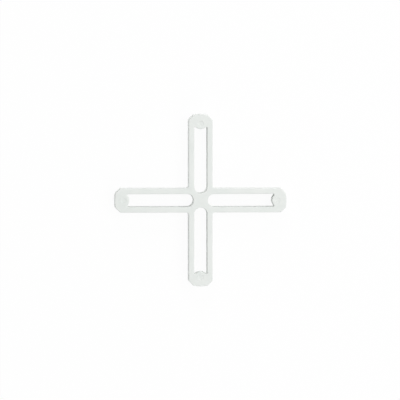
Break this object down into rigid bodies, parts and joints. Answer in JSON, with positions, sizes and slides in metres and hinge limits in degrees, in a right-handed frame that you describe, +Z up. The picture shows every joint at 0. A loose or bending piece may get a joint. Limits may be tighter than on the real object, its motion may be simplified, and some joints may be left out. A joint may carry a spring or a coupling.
{
  "type": "tile spacer",
  "caption": "White plastic cross that sets an even joint between tile corners. Each arm is an open slotted frame, round at the crossing, with a rounded pad at its tip.",
  "frame": {"origin": "centre of the underside", "axes": "+Z up through the thickness, out of the face with rounded edges; the arms lie along X and Y"},
  "size_m": [0.0354, 0.0354, 0.0032],
  "materials": {
    "white_plastic": "satin white, as moulded"
  },
  "bodies": {
    "root": {"cross_spacer": "white_plastic"}
  },
  "joints": []
}
